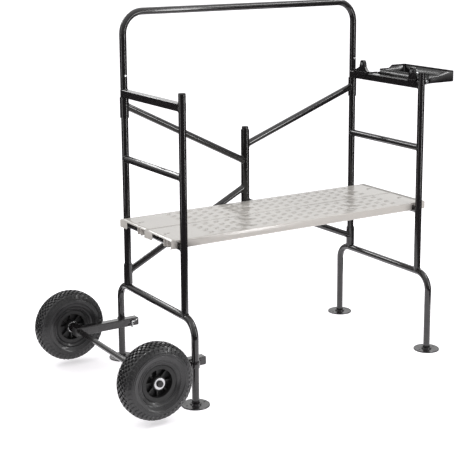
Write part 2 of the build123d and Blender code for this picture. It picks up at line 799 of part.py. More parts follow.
# ---------------------------------------------------------------- wheels
wheel_r = wheel_diameter / 2
flange_r = rim_flange_diameter / 2
well_r = rim_well_diameter / 2
seat_r = flange_r - 4
hub_r = hub_diameter / 2
bearing_r = bearing_diameter / 2
half_rim = rim_width / 2
half_hub = hub_width / 2
axle_r = axle_diameter / 2
for row, sign in row_sign.items():
    wheel_y = sign * wheel_half_track
    wheel_plane = Plane(
        origin=(axle_x, wheel_y, axle_height), x_dir=(1, 0, 0), z_dir=(0, 1, 0)
    )
    section = Plane(origin=(axle_x, wheel_y, axle_height), x_dir=(1, 0, 0), z_dir=(0, 0, 1))
    spin_axis = Axis((axle_x, wheel_y, axle_height), (0, 1, 0))

    with BuildPart() as rim:
        with BuildSketch(section):
            with BuildLine():
                Polyline(
                    (seat_r, -half_rim + 3),
                    (flange_r, -half_rim + 3),
                    (flange_r, -half_rim),
                    (well_r, -half_rim),
                    (well_r, half_rim),
                    (flange_r, half_rim),
                    (flange_r, half_rim - 3),
                    (seat_r, half_rim - 3),
                    close=True,
                )
            make_face()
            with Locations(((well_r + hub_r) / 2, 0)):
                Rectangle(well_r - hub_r + 2, rim_web)
            with BuildLine():
                Polyline(
                    (axle_r + 0.6, -half_hub),
                    (hub_r, -half_hub),
                    (hub_r, half_hub),
                    (axle_r + 0.6, half_hub),
                    close=True,
                )
            make_face()
        revolve(axis=spin_axis)
        with BuildSketch(wheel_plane):
            with PolarLocations((well_r + hub_r) / 2, rim_ribs):
                Rectangle(well_r - hub_r + 2, 5)
        extrude(amount=half_rim - 14, both=True)
        for way in (1, -1):
            with BuildSketch(wheel_plane.offset(way * half_hub)):
                Circle(bearing_r)
            extrude(amount=-way * (bearing_length - 2), mode=Mode.SUBTRACT)
    save(rim, f"{row}_rim")

    with BuildPart() as tire:
        tread_half = tire_width / 2 - 11
        with BuildSketch(section):
            with BuildLine():
                Line((flange_r - 3.9, -half_rim + 3.1), (flange_r - 3.9, -half_rim + 11))
                Spline(
                    (flange_r - 3.9, -half_rim + 11),
                    (92, -tire_width / 2 + 8),
                    (wheel_r - 10, -tread_half + 6),
                    (wheel_r - 9, 0),
                    (wheel_r - 10, tread_half - 6),
                    (92, tire_width / 2 - 8),
                    (flange_r - 3.9, half_rim - 11),
                )
                Line((flange_r - 3.9, half_rim - 11), (flange_r - 3.9, half_rim - 3.1))
                Line((flange_r - 3.9, half_rim - 3.1), (flange_r + 1, half_rim - 3.1))
                Spline(
                    (flange_r + 1, half_rim - 3.1),
                    (74, tire_width / 2 - 4),
                    (97, tire_width / 2),
                    (wheel_r - 9, tread_half + 4.5),
                    (wheel_r - 2, tread_half - 8),
                    (wheel_r, 0),
                    (wheel_r - 2, -tread_half + 8),
                    (wheel_r - 9, -tread_half - 4.5),
                    (97, -tire_width / 2),
                    (74, -tire_width / 2 + 4),
                    (flange_r + 1, -half_rim + 3.1),
                )
                Line((flange_r + 1, -half_rim + 3.1), (flange_r - 3.9, -half_rim + 3.1))
            make_face()
        revolve(axis=spin_axis)
    save(tire, f"{row}_tire")

    with BuildPart() as bearings:
        for way in (1, -1):
            with BuildSketch(wheel_plane.offset(way * (half_hub - bearing_length + 2))):
                Circle(bearing_r - 0.02)
                Circle(axle_r + axle_fit, mode=Mode.SUBTRACT)
            extrude(amount=way * bearing_length)
    save(bearings, f"{row}_wheel_bearings")

# Spacer tubes between arm and hub, and the caps that keep the wheels on.
spacer_start = arm_y + arm_size / 2
spacer_end = wheel_half_track - half_hub - 2.4
with BuildPart() as spacers:
    for sign in row_sign.values():
        with BuildSketch(Plane(origin=(axle_x, sign * spacer_start, axle_height), z_dir=(0, sign, 0))):
            Circle(spacer_r)
            Circle(axle_r + axle_fit, mode=Mode.SUBTRACT)
        extrude(amount=spacer_end - spacer_start)
save(spacers, "axle_spacers")

with BuildPart() as axle_caps:
    for sign in row_sign.values():
        cap_y = wheel_half_track + half_hub + 2.4
        with BuildSketch(Plane(origin=(axle_x, sign * cap_y, axle_height), z_dir=(0, sign, 0))):
            Circle(axle_cap_r)
        extrude(amount=6.6, taper=12)
        with BuildSketch(Plane(origin=(axle_x, sign * cap_y, axle_height), z_dir=(0, sign, 0))):
            Circle(axle_r + axle_fit)
        extrude(amount=axle_half - cap_y, mode=Mode.SUBTRACT)
save(axle_caps, "axle_caps")
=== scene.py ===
import math
import random

import bmesh
import bpy
from mathutils import Matrix, Vector


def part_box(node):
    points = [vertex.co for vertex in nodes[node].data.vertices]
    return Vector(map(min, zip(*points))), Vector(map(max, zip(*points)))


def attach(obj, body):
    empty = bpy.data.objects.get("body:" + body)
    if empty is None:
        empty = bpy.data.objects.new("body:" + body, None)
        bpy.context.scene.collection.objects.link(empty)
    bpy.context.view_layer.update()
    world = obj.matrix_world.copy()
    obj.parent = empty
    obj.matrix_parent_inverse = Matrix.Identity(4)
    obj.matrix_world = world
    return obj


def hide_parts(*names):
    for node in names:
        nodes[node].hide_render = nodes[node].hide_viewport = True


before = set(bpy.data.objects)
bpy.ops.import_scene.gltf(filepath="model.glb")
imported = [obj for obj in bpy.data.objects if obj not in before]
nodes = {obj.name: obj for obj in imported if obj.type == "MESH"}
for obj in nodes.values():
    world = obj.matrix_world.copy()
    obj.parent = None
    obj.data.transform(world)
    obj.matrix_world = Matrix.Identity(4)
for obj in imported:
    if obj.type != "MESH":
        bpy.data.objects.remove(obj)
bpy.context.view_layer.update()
scene = bpy.context.scene
MM = 0.001
FRAME_BODY = "scaffold_frame"

# ---------------------------------------------------------------- end frames
# Two ladder frames of 25 mm round steel tube: an upside-down U makes the splayed legs, and two
# posts and three rungs stand on it. The joints are welded all round, and the whole frame is
# sprayed with gloss black enamel, which dries with a faint orange peel.


class Value:
    """A socket of a finish. Arithmetic on it adds the Math nodes that work it out."""

    def __init__(self, finish, socket):
        self.finish = finish
        self.socket = socket

    def maths(self, operation, first, second):
        return self.finish.node("ShaderNodeMath", {"operation": operation}, {0: first, 1: second})

    def __add__(self, other):
        return self.maths("ADD", self, other)

    __radd__ = __add__

    def __sub__(self, other):
        return self.maths("SUBTRACT", self, other)

    def __rsub__(self, other):
        return self.maths("SUBTRACT", other, self)

    def __mul__(self, other):
        return self.maths("MULTIPLY", self, other)

    __rmul__ = __mul__


class Finish:
    """A procedural surface: one Principled shader, and the nodes that feed it."""

    def __init__(self, name, constants):
        self.material = bpy.data.materials.new(name)
        self.material.use_nodes = True
        self.tree = self.material.node_tree
        self.shader = self.tree.nodes["Principled BSDF"]
        for socket, value in constants.items():
            self.feed(self.shader.inputs[socket], value)
        self.place = self.node("ShaderNodeTexCoord", {}, {}, "Object")

    def feed(self, socket, value):
        """Links a worked-out value to a socket, or sets a number or colour on it."""
        if isinstance(value, Value):
            self.tree.links.new(value.socket, socket)
        elif isinstance(value, tuple) and socket.type == "RGBA":
            socket.default_value = (*value, 1)
        else:
            socket.default_value = value

    def node(self, kind, settings, inputs, output=0):
        """Any node, from its type, its settings, and the values or links of its sockets."""
        made = self.tree.nodes.new(kind)
        for name, value in settings.items():
            if name == "stops":
                for stop, (position, level) in zip(made.color_ramp.elements, value):
                    stop.position = position
                    stop.color = (level, level, level, 1)
            else:
                setattr(made, name, value)
        for name, value in inputs.items():
            self.feed(made.inputs[name], value)
        return Value(self, made.outputs[output])

    def noise(self, scale, detail=2.0, place=None):
        """Cloudy noise from 0 to 1, with that many lumps to the metre."""
        inputs = {"Vector": place or self.place, "Scale": scale, "Detail": detail}
        return self.node("ShaderNodeTexNoise", {}, inputs)

    def stretched(self, x, y, z):
        """The place on the piece with each axis drawn out or pressed together."""
        return self.node("ShaderNodeVectorMath", {"operation": "MULTIPLY"}, {0: self.place, 1: (x, y, z)})

    def mask(self, value, low, high):
        """0 where value is under low, 1 where it is over high, and a ramp between."""
        return self.node("ShaderNodeValToRGB", {"stops": ((low, 0), (high, 1))}, {"Fac": value})

    def mix(self, first, second, amount):
        """A colour between first, at amount 0, and second, at amount 1."""
        colours = {0: amount, 6: first, 7: second}
        return self.node("ShaderNodeMix", {"data_type": "RGBA"}, colours, 2)

    def surface(self, colour, roughness):
        self.feed(self.shader.inputs["Base Color"], colour)
        self.feed(self.shader.inputs["Roughness"], roughness)

    def bump(self, height, depth, strength=1.0):
        """Raises the surface by up to depth metres where height is 1."""
        inputs = {"Strength": strength, "Distance": depth, "Height": height}
        normal = self.node("ShaderNodeBump", {}, inputs)
        self.feed(self.shader.inputs["Normal"], normal)


def finish_nodes(finish, *names):
    for name in names:
        for slot in nodes[name].material_slots:
            slot.material = finish.material


def pairs(pattern):
    """The names of a left and a right part."""
    return [pattern.format(side) for side in ("left", "right")]


def make_enamel(name, thin, thick, gloss, coat=0.6):
    """Sprayed black enamel: slow drifts in film thickness, a fine orange peel and a few nibs."""
    paint = Finish(name, {"Specular IOR Level": 0.42, "Coat Roughness": 0.06})
    drift = paint.noise(9.0, 3.0)
    peel = paint.noise(330.0, 2.0)
    nibs = paint.mask(paint.noise(900.0, 1.0), 0.70, 0.78)
    haze = paint.mask(paint.noise(38.0, 4.0), 0.45, 0.75)
    paint.surface(paint.mix(thin, thick, drift), gloss + 0.05 * drift + 0.04 * haze)
    paint.feed(paint.shader.inputs["Coat Weight"], coat - 0.2 * haze)
    paint.bump(peel * 0.6 + nibs * 0.4, 0.02 * MM, 0.35)
    return paint


black_enamel = make_enamel("black_enamel", (0.006, 0.0052, 0.0056), (0.010, 0.0086, 0.0092), 0.13)
finish_nodes(black_enamel, *pairs("{}_leg_bow"), *pairs("{}_top_rung"), *pairs("{}_middle_rung"))
finish_nodes(black_enamel, *pairs("{}_deck_rung"), *pairs("{}_front_post"), *pairs("{}_rear_post"))

TUBE_R = 12.7 * MM
BEAD_R = 2.3 * MM
BEAD_STEP = 1.5 * MM  # run of bead laid between two ripples is two of these
bead_paths = []


def middle(node):
    low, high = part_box(node)
    return (low + high) / 2


def saddle(center, along, post_axis, tube_r, post_r):
    """The closed line where a tube running along from center comes out of a round post."""
    along, post_axis = Vector(along).normalized(), Vector(post_axis).normalized()
    side = along.cross(post_axis).normalized()
    up = side.cross(along)
    count = 2 * round(math.pi * tube_r / BEAD_STEP)
    line = []
    for step in range(count):
        turn = 2 * math.pi * step / count
        offset = (side * math.cos(turn) + up * math.sin(turn)) * tube_r
        flat = offset - post_axis * offset.dot(post_axis)
        run = along - post_axis * along.dot(post_axis)
        inside = flat.dot(run) ** 2 - run.length_squared * (flat.length_squared - post_r**2)
        reach = (math.sqrt(max(inside, 0)) - flat.dot(run)) / run.length_squared
        line.append(Vector(center) + offset + along * reach)
    return line


def even_points(corners, step):
    """Points a step apart along a closed outline."""
    line = []
    for start, end in zip(corners, corners[1:] + corners[:1]):
        parts = max(1, round((end - start).length / step))
        line += [start.lerp(end, part / parts) for part in range(parts)]
    return line


bow_axis_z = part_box("left_front_post")[0].z  # the posts' notches reach down to the bow's axis
for side_name in ("left", "right"):
    for row in ("front", "rear"):
        post = middle(f"{side_name}_{row}_post")
        inward = Vector((0, 1 if row == "front" else -1, 0))
        bead_paths.append(saddle((post.x, post.y, bow_axis_z), (0, 0, 1), (0, 1, 0), TUBE_R, TUBE_R))
        for rung in ("deck_rung", "middle_rung"):
            height = middle(f"{side_name}_{rung}").z
            bead_paths.append(saddle((post.x, post.y, height), inward, (0, 0, 1), TUBE_R, TUBE_R))
        low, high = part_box(f"{side_name}_top_rung")
        half_round = [math.pi * part / 10 for part in range(11)]
        over = [
            Vector((post.x + TUBE_R * math.cos(a), post.y + inward.y * TUBE_R * math.sin(a), high.z))
            for a in half_round
        ]
        under = [Vector((point.x, point.y, low.z)) for point in reversed(over)]
        bead_paths.append(even_points(over + under, BEAD_STEP))


def lay_beads(name, paths, finish, body):
    """Weld beads with their ripples, one closed round line for each path."""
    chance = random.Random(name)
    curve = bpy.data.curves.new(name, "CURVE")
    curve.dimensions = "3D"
    curve.bevel_depth = BEAD_R
    curve.bevel_resolution = 2
    for path in paths:
        spline = curve.splines.new("POLY")
        spline.points.add(len(path) - 1)
        spline.use_cyclic_u = True
        for number, (point, place) in enumerate(zip(spline.points, path)):
            point.co = (*place, 1)
            point.radius = (1.12 if number % 2 else 0.86) * chance.uniform(0.93, 1.07)
    holder = bpy.data.objects.new(name, curve)
    mesh = bpy.data.meshes.new_from_object(holder)
    bpy.data.objects.remove(holder)
    return add_piece(name, mesh, finish, body)


def add_piece(name, mesh, finish, body, stands_for=(), sharp=40):
    """Puts a mesh in the scene on its body, smooth except across edges sharper than sharp degrees."""
    mesh.name = name
    mesh.shade_smooth()
    mesh.set_sharp_from_angle(angle=math.radians(sharp))
    mesh.materials.clear()
    mesh.materials.append(finish.material)
    piece = bpy.data.objects.new(name, mesh)
    scene.collection.objects.link(piece)
    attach(piece, body)
    if stands_for:
        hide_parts(*stands_for)
    return piece


lay_beads("frame_welds", bead_paths, black_enamel, FRAME_BODY)

# ---------------------------------------------------------------- foot plates
# Round steel plates pressed with a collar for the leg and drilled for two screws. They share
# the frame's enamel.
foot_enamel = make_enamel("foot_enamel", (0.006, 0.0055, 0.006), (0.014, 0.0127, 0.0133), 0.2, 0.3)


def soften(name, width, segments=2):
    """Rounds the sharp edges of a CAD node as tumbling and paint do, without moving its faces."""
    weld = nodes[name].modifiers.new("closed", "WELD")
    weld.merge_threshold = 0.01 * MM
    edge = nodes[name].modifiers.new("edge", "BEVEL")
    edge.width = width
    edge.segments = segments
    edge.limit_method = "ANGLE"
    edge.angle_limit = math.radians(35)
    edge.harden_normals = True


for foot in pairs("{}_front_foot") + pairs("{}_rear_foot"):
    finish_nodes(foot_enamel, foot)

# ---------------------------------------------------------------- folding gate
# Four braces of 25 mm tube in two folding halves. Each half swings on sleeves that turn round a
# rear post, and on knuckles stacked along a short hinge tube in the middle. All of it is enameled.
finish_nodes(black_enamel, *pairs("{}_gate_upper_brace"), *pairs("{}_gate_lower_brace"))
finish_nodes(black_enamel, *pairs("{}_gate_sleeves"), "left_gate_knuckle", "right_gate_knuckles")
finish_nodes(black_enamel, "gate_hinge_tube")

SLEEVE_R = 16 * MM
BRACE_R = 12.5 * MM
brace_heights = {  # where each brace's axis meets its sleeve's and the hinge tube's, up from the floor
    "left_gate_upper_brace": (0.969, 0.710),
    "left_gate_lower_brace": (0.352, 0.613),
    "right_gate_upper_brace": (0.9645, 0.773),
    "right_gate_lower_brace": (0.343, 0.555),
}
hinge = middle("gate_hinge_tube")
gate_paths = []
for brace, (outer_z, center_z) in brace_heights.items():
    post = middle(brace.split("_")[0] + "_rear_post")
    outer = Vector((post.x, post.y, outer_z))
    inner = Vector((hinge.x, hinge.y, center_z))
    for start, end in ((outer, inner), (inner, outer)):
        gate_paths.append(saddle(start, end - start, (0, 0, 1), BRACE_R, SLEEVE_R))
lay_beads("gate_welds", gate_paths, black_enamel, FRAME_BODY)

# Caps of soft black plastic are pushed into the open tube ends.
plastic = Finish("black_plastic", {"Specular IOR Level": 0.4})
grain = plastic.noise(700.0, 3.0)
plastic.surface(plastic.mix((0.010, 0.010, 0.011), (0.022, 0.021, 0.021), grain), 0.42 + 0.2 * grain)
plastic.bump(grain, 0.12 * MM, 0.5)
finish_nodes(plastic, "tube_caps")
soften("tube_caps", 1.0 * MM)

# ---------------------------------------------------------------- guard hoop
# One long bend of 25 mm tube that stands on two spigots in the rear posts. A steel button in
# each leg springs out through a hole and locks it; a finger pushes it in to lift the hoop off.
finish_nodes(black_enamel, "guard_hoop", "hoop_spigots")


def make_plated(name, tone, roughness):
    """Zinc plate on steel: bright, with a faint crystal mottle and fine draw marks."""
    plated = Finish(name, {"Metallic": 1.0})
    mottle = plated.noise(160.0, 4.0)
    marks = plated.noise(60.0, 3.0, plated.stretched(1, 1, 14))
    dark = tuple(0.74 * part for part in tone)
    plated.surface(plated.mix(dark, tone, mottle), roughness + 0.22 * mottle * marks)
    plated.bump(marks * 0.5 + mottle * 0.5, 0.1 * MM, 0.4)
    return plated


zinc = make_plated("zinc_plate", (0.86, 0.87, 0.88), 0.2)
spring_steel = make_plated("spring_steel", (0.52, 0.52, 0.54), 0.28)
finish_nodes(zinc, *pairs("{}_snap_button"))
finish_nodes(spring_steel, *pairs("{}_button_spring"))

# ---------------------------------------------------------------- deck planks
# Two planks folded from 2 mm steel sheet: a flat top with rows of raised dimples for grip, sides
# turned down and lipped, and one closed corner at each end. They are enameled off-white.
deck_enamel = Finish("deck_enamel", {"Specular IOR Level": 0.5, "Coat Roughness": 0.08})
cloud = deck_enamel.noise(6.0, 3.0)
peel = deck_enamel.noise(260.0, 2.0)
scuff = deck_enamel.mask(deck_enamel.noise(70.0, 5.0, deck_enamel.stretched(0.25, 1, 1)), 0.62, 0.78)
clean = deck_enamel.mix((0.405, 0.384, 0.358), (0.44, 0.418, 0.39), cloud)
worn = deck_enamel.mix(clean, (0.37, 0.35, 0.325), scuff * 0.25)
deck_enamel.surface(worn, 0.16 + 0.05 * cloud + 0.1 * scuff)
deck_enamel.feed(deck_enamel.shader.inputs["Coat Weight"], 0.25 - 0.15 * scuff)
deck_enamel.bump(peel, 0.03 * MM, 0.3)

SHEET = 2.0 * MM
FOLD_R = 3.5 * MM
FOLD_STEPS = 4
LIP = 10.0 * MM
HOOK_TIP = 24.0 * MM  # side flange outside the rung
NOTCH_END = 62.0 * MM  # the flange starts again past the rung
TAB_WIDTH = 52.0 * MM
TAB_BITE = 0.6 * MM
DIMPLE_COLUMNS = 19
DIMPLE_ROWS = 4
DIMPLE_PITCH = (44.5 * MM, 39.0 * MM)
FIRST_DIMPLE = 178.0 * MM
DIMPLE_R = 8.5 * MM
DIMPLE_HEIGHT = 2.15 * MM
SLOT_FROM_END = 40.0 * MM
SLOT_HALF = (7.0 * MM, 3.0 * MM)
SLOT_TO_REAR = 8.0 * MM  # drain slot, from the plank's middle


class Shell:
    """Points and faces gathered for one mesh. Points in the same place become one."""

    def __init__(self):
        self.points = []
        self.faces = []
        self.found = {}

    def point(self, place):
        key = tuple(round(part / (0.01 * MM)) for part in place)
        if key not in self.found:
            self.found[key] = len(self.points)
            self.points.append(Vector(place))
        return self.found[key]

    def face(self, *places):
        corners = []
        for place in places:
            index = self.point(place)
            if index not in corners:
                corners.append(index)
        if len(corners) > 2:
            self.faces.append(corners)

    def bridge(self, first, second, closed=True):
        """Faces between two rings of as many places each."""
        last = len(first) if closed else len(first) - 1
        for step in range(last):
            after = (step + 1) % len(first)
            self.face(first[step], first[after], second[after], second[step])

    def mesh(self):
        made = bpy.data.meshes.new("shell")
        made.from_pydata(self.points, [], self.faces)
        work = bmesh.new()
        work.from_mesh(made)
        bmesh.ops.recalc_face_normals(work, faces=work.faces)
        work.to_mesh(made)
        work.free()
        return made


def cell_ring(x0, x1, y0, y1, z, parts=3):
    """The points round a cell of the sheet, parts to a side."""
    ring = []
    corners = [(x0, y0), (x1, y0), (x1, y1), (x0, y1)]
    for (ax, ay), (bx, by) in zip(corners, corners[1:] + corners[:1]):
        ring += [(ax + (bx - ax) * p / parts, ay + (by - ay) * p / parts, z) for p in range(parts)]
    return ring


def plank_shell(low, high):
    shell = Shell()
    middle_y = (low.y + high.y) / 2
    top = high.z
    pitch_x, pitch_y = DIMPLE_PITCH
    dimple_x = low.x + FIRST_DIMPLE - pitch_x / 2
    dimple_y = middle_y - DIMPLE_ROWS * pitch_y / 2
    dimple_end_x = dimple_x + DIMPLE_COLUMNS * pitch_x
    slot_xs = (low.x + SLOT_FROM_END, high.x - SLOT_FROM_END)

    # Grid lines of the flat top: ends, notches, drain slots, and thirds of each dimple cell.
    lines_x = [low.x, low.x + HOOK_TIP, low.x + NOTCH_END]
    lines_x += [slot_xs[0] - 12 * MM, slot_xs[0] + 12 * MM]
    lines_x += [dimple_x + pitch_x * part / 3 for part in range(3 * DIMPLE_COLUMNS + 1)]
    lines_x += [slot_xs[1] - 12 * MM, slot_xs[1] + 12 * MM]
    lines_x += [high.x - NOTCH_END, high.x - HOOK_TIP, high.x]
    lines_x.sort()
    lines_y = [low.y + FOLD_R, *(dimple_y + pitch_y * part / 3 for part in range(3 * DIMPLE_ROWS + 1))]
    lines_y.append(high.y - FOLD_R)
    slot_y0 = max(line for line in lines_y if line <= middle_y + SLOT_TO_REAR - SLOT_HALF[1])
    slot_y1 = min(line for line in lines_y if line >= middle_y + SLOT_TO_REAR + SLOT_HALF[1])

    for x0, x1 in zip(lines_x, lines_x[1:]):
        center_x = (x0 + x1) / 2
        in_slot_column = any(abs(center_x - slot_x) < 12 * MM for slot_x in slot_xs)
        for y0, y1 in zip(lines_y, lines_y[1:]):
            center_y = (y0 + y1) / 2
            in_rows = abs(center_y - middle_y) < DIMPLE_ROWS * pitch_y / 2
            in_dimples = dimple_x < center_x < dimple_end_x and in_rows
            in_slot = in_slot_column and slot_y0 < center_y < slot_y1
            if not in_dimples and not in_slot:
                shell.face((x0, y0, top), (x1, y0, top), (x1, y1, top), (x0, y1, top))

    # A dimple is a low round dome with a soft foot, drawn up out of its cell.
    rise = [(1.0, 0.0), (0.86, 0.22), (0.68, 0.66), (0.45, 0.92), (0.2, 1.0)]
    for column in range(DIMPLE_COLUMNS):
        for row in range(DIMPLE_ROWS):
            x0, y0 = dimple_x + column * pitch_x, dimple_y + row * pitch_y
            center_x, center_y = x0 + pitch_x / 2, y0 + pitch_y / 2
            outer = cell_ring(x0, x0 + pitch_x, y0, y0 + pitch_y, top)
            angles = [math.atan2(y - center_y, x - center_x) for x, y, _ in outer]
            for share, height in rise:
                reach = DIMPLE_R * share
                z = top + DIMPLE_HEIGHT * height
                ring = [(center_x + reach * math.cos(a), center_y + reach * math.sin(a), z) for a in angles]
                shell.bridge(outer, ring)
                outer = ring
            shell.face(*outer)

    # Drain slots: the cell's two halves are cut round the slot.
    half_x, half_y = SLOT_HALF
    for slot_x in slot_xs:
        slot_y = middle_y + SLOT_TO_REAR
        ends = []
        for way in (1, -1):
            for step in range(7):
                turn = math.pi * (0.5 - step / 6)
                x = slot_x + way * (half_x - half_y + half_y * math.cos(turn))
                ends.append((x, slot_y + way * half_y * math.sin(turn), top))
        right, left = ends[:7], ends[7:]
        cut = [line for line in lines_x if slot_x - 12.01 * MM < line < slot_x + 12.01 * MM]
        x0, x1 = min(cut), max(cut)
        far = [(x, slot_y1, top) for x in cut]
        near = [(x, slot_y0, top) for x in reversed(cut)]
        shell.face(*far, *right[:4], *reversed(left[3:]))
        shell.face(*near, *left[:4], *reversed(right[3:]))
        shell.face(far[-1], near[0], right[3])
        shell.face(near[-1], far[0], left[3])

    # The sides: a round fold, the flange, another fold and the lip, cut away over each rung.
    def side(edge_y, outward):
        fold = []
        for step in range(FOLD_STEPS + 1):
            turn = math.pi / 2 * step / FOLD_STEPS
            fold_y = edge_y - outward * FOLD_R * (1 - math.sin(turn))
            fold.append((fold_y, top - FOLD_R * (1 - math.cos(turn))))
        turned = fold + [(y, low.z + top - z) for y, z in reversed(fold)]
        return turned + [(edge_y - outward * LIP, low.z)], len(fold)

    for edge_y, outward in ((low.y, -1), (high.y, 1)):
        outline, folded = side(edge_y, outward)
        for x0, x1 in zip(lines_x, lines_x[1:]):
            over_rung = any(
                start < (x0 + x1) / 2 < end
                for start, end in (
                    (low.x + HOOK_TIP, low.x + NOTCH_END),
                    (high.x - NOTCH_END, high.x - HOOK_TIP),
                )
            )
            shown = outline[:folded] if over_rung else outline
            for (ay, az), (by, bz) in zip(shown, shown[1:]):
                shell.face((x0, ay, az), (x1, ay, az), (x1, by, bz), (x0, by, bz))
    return shell


def end_tabs(low, high):
    """The folded tabs that close the rear corner at both ends of a plank."""
    shell = Shell()
    for end_x, inward in ((low.x, 1), (high.x, -1)):
        outline = [
            (high.y - SHEET / 2, high.z - FOLD_R / 2),
            (high.y - SHEET / 2, low.z + 1 * MM),
            (high.y - TAB_WIDTH + 4 * MM, low.z + 1 * MM),
            (high.y - TAB_WIDTH, low.z + 5 * MM),
            (high.y - TAB_WIDTH, high.z - FOLD_R / 2),
        ]
        near = [(end_x + inward * TAB_BITE / 2, y, z) for y, z in outline]
        far = [(end_x + inward * (SHEET + TAB_BITE), y, z) for y, z in outline]
        shell.bridge(near, far)
        shell.face(*near)
        shell.face(*far)
    return shell


def round_edges(piece, width, segments=2):
    edge = piece.modifiers.new("edge", "BEVEL")
    edge.width = width
    edge.segments = segments
    edge.limit_method = "ANGLE"
    edge.angle_limit = math.radians(35)
    edge.harden_normals = True


for row in ("front", "rear"):
    low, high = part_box(f"{row}_plank")
    body = f"{row}_deck"
    deck = add_piece(
        f"{row}_deck_sheet",
        plank_shell(low, high).mesh(),
        deck_enamel,
        body,
        [f"{row}_plank"],
    )
    gauge = deck.modifiers.new("gauge", "SOLIDIFY")
    gauge.thickness = SHEET
    gauge.offset = -1
    gauge.use_even_offset = True
    tabs = add_piece(f"{row}_deck_tabs", end_tabs(low, high).mesh(), deck_enamel, body)
    round_edges(tabs, 0.6 * MM)
    finish_nodes(deck_enamel, f"{row}_plank_hooks", f"{row}_plank_stiffener")
    soften(f"{row}_plank_hooks", 0.5 * MM)
    soften(f"{row}_plank_stiffener", 0.4 * MM)

# ---------------------------------------------------------------- tool tray
# A shallow pan of 1.5 mm steel with rounded corners and a rolled rim, low beside the rung and
# stepped up outside. It hangs on two pivot bolts between the brackets, and is enameled black.
TRAY_WIDTH = 130 * MM
TRAY_LOW_WALL = 30.4 * MM
TRAY_STEP = (50 * MM, 65 * MM)  # the rim climbs between these, from the inner wall
TRAY_CORNER_R = 7 * MM
TRAY_BEND_R = 4 * MM
TRAY_SHEET = 1.5 * MM
RIM_ROLL_R = 1.9 * MM
EAR_R = 8.9 * MM

# The pan's enamel is the frame's black enamel made darker and less glossy: its darker colours are painted
# shade for the inside of the pan.
tray_shaded_enamel = make_enamel("tray_shaded_enamel", (0.004, 0.0036, 0.004), (0.007, 0.0062, 0.0066), 0.22, 0.25)
tray_low, tray_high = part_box("tray")
tray_x0, tray_x1 = tray_high.x - TRAY_WIDTH, tray_high.x
pivot_x, pivot_z = tray_low.x + EAR_R, tray_low.z + EAR_R


def tray_plan(inset, corner_r):
    """Points round the pan seen from above, with one at each end of the rim's climb."""
    x0, x1 = tray_x0 + inset, tray_x1 - inset
    y0, y1 = tray_low.y + inset, tray_high.y - inset
    line = []
    corners = ((x1, y0, -90), (x1, y1, 0), (x0, y1, 90), (x0, y0, 180))
    for number, (cx, cy, start) in enumerate(corners):
        center_x = cx - math.copysign(corner_r, cx - (x0 + x1) / 2)
        center_y = cy - math.copysign(corner_r, cy - (y0 + y1) / 2)
        for step in range(6):
            turn = math.radians(start + 90 * step / 5)
            line.append((center_x + corner_r * math.cos(turn), center_y + corner_r * math.sin(turn)))
        if number == 1:
            line += [(tray_x0 + part, y1) for part in reversed(TRAY_STEP)]
        elif number == 3:
            line += [(tray_x0 + part, y0) for part in TRAY_STEP]
    return line


def rim_height(x):
    climb = min(1.0, max(0.0, (x - tray_x0 - TRAY_STEP[0]) / (TRAY_STEP[1] - TRAY_STEP[0])))
    low_rim = tray_low.z + TRAY_LOW_WALL
    return low_rim + climb * (tray_high.z - low_rim)


pan = Shell()
rings = []
for step in range(5):
    turn = math.pi / 2 * step / 4
    inset = TRAY_BEND_R * (1 - math.sin(turn))
    rise = TRAY_BEND_R * (1 - math.cos(turn))
    plan = tray_plan(inset, TRAY_CORNER_R - inset)
    rings.append([(x, y, tray_low.z + rise) for x, y in plan])
wall = tray_plan(0, TRAY_CORNER_R)
rings.append([(x, y, rim_height(x) - RIM_ROLL_R) for x, y in wall])
for inner_ring, outer_ring in zip(rings, rings[1:]):
    pan.bridge(inner_ring, outer_ring)
pan.face(*rings[0])
tray_pan = add_piece("tray_pan", pan.mesh(), tray_shaded_enamel, "tool_tray", ["tray"])
gauge = tray_pan.modifiers.new("gauge", "SOLIDIFY")
gauge.thickness = TRAY_SHEET
gauge.offset = -1
gauge.use_even_offset = True


def round_bar(name, path, radius, finish, body, closed=True, sides=3):
    """A round bar along a line of places, as a mesh."""
    curve = bpy.data.curves.new(name, "CURVE")
    curve.dimensions = "3D"
    curve.bevel_depth = radius
    curve.bevel_resolution = sides
    curve.use_fill_caps = True
    spline = curve.splines.new("POLY")
    spline.points.add(len(path) - 1)
    spline.use_cyclic_u = closed
    for point, place in zip(spline.points, path):
        point.co = (*place, 1)
    holder = bpy.data.objects.new(name, curve)
    mesh = bpy.data.meshes.new_from_object(holder)
    bpy.data.objects.remove(holder)
    return add_piece(name, mesh, finish, body)


rim_line = [(x, y, rim_height(x) - RIM_ROLL_R) for x, y in tray_plan(RIM_ROLL_R * 0.6, TRAY_CORNER_R)]
round_bar("tray_rim", rim_line, RIM_ROLL_R, tray_shaded_enamel, "tool_tray")

ears = Shell()
for wall_y, inward in ((tray_low.y, 1), (tray_high.y, -1)):
    outline = [(tray_x0 + 12 * MM, pivot_z - EAR_R), (tray_x0 + 12 * MM, pivot_z + EAR_R)]
    for step in range(13):
        turn = math.pi * (0.5 + step / 12)
        outline.append((pivot_x + EAR_R * math.cos(turn), pivot_z + EAR_R * math.sin(turn)))
    near = [(x, wall_y, z) for x, z in outline]
    far = [(x, wall_y + inward * TRAY_SHEET, z) for x, z in outline]
    ears.bridge(near, far)
    ears.face(*near)
    ears.face(*far)
tray_ears = add_piece("tray_ears", ears.mesh(), tray_shaded_enamel, "tool_tray")
round_edges(tray_ears, 0.4 * MM)

# Steel brackets saddle the top rung, each with a thick fin on it that takes a zinc-plated bolt.
# The front bolt has a wing nut, which is turned by hand.
for bracket in ("front_tray_bracket", "rear_tray_bracket"):
    finish_nodes(black_enamel, bracket)
    soften(bracket, 0.7 * MM)
for bolts in ("bracket_bolts", "tray_pivot_bolts"):
    finish_nodes(zinc, bolts)
    soften(bolts, 0.4 * MM)

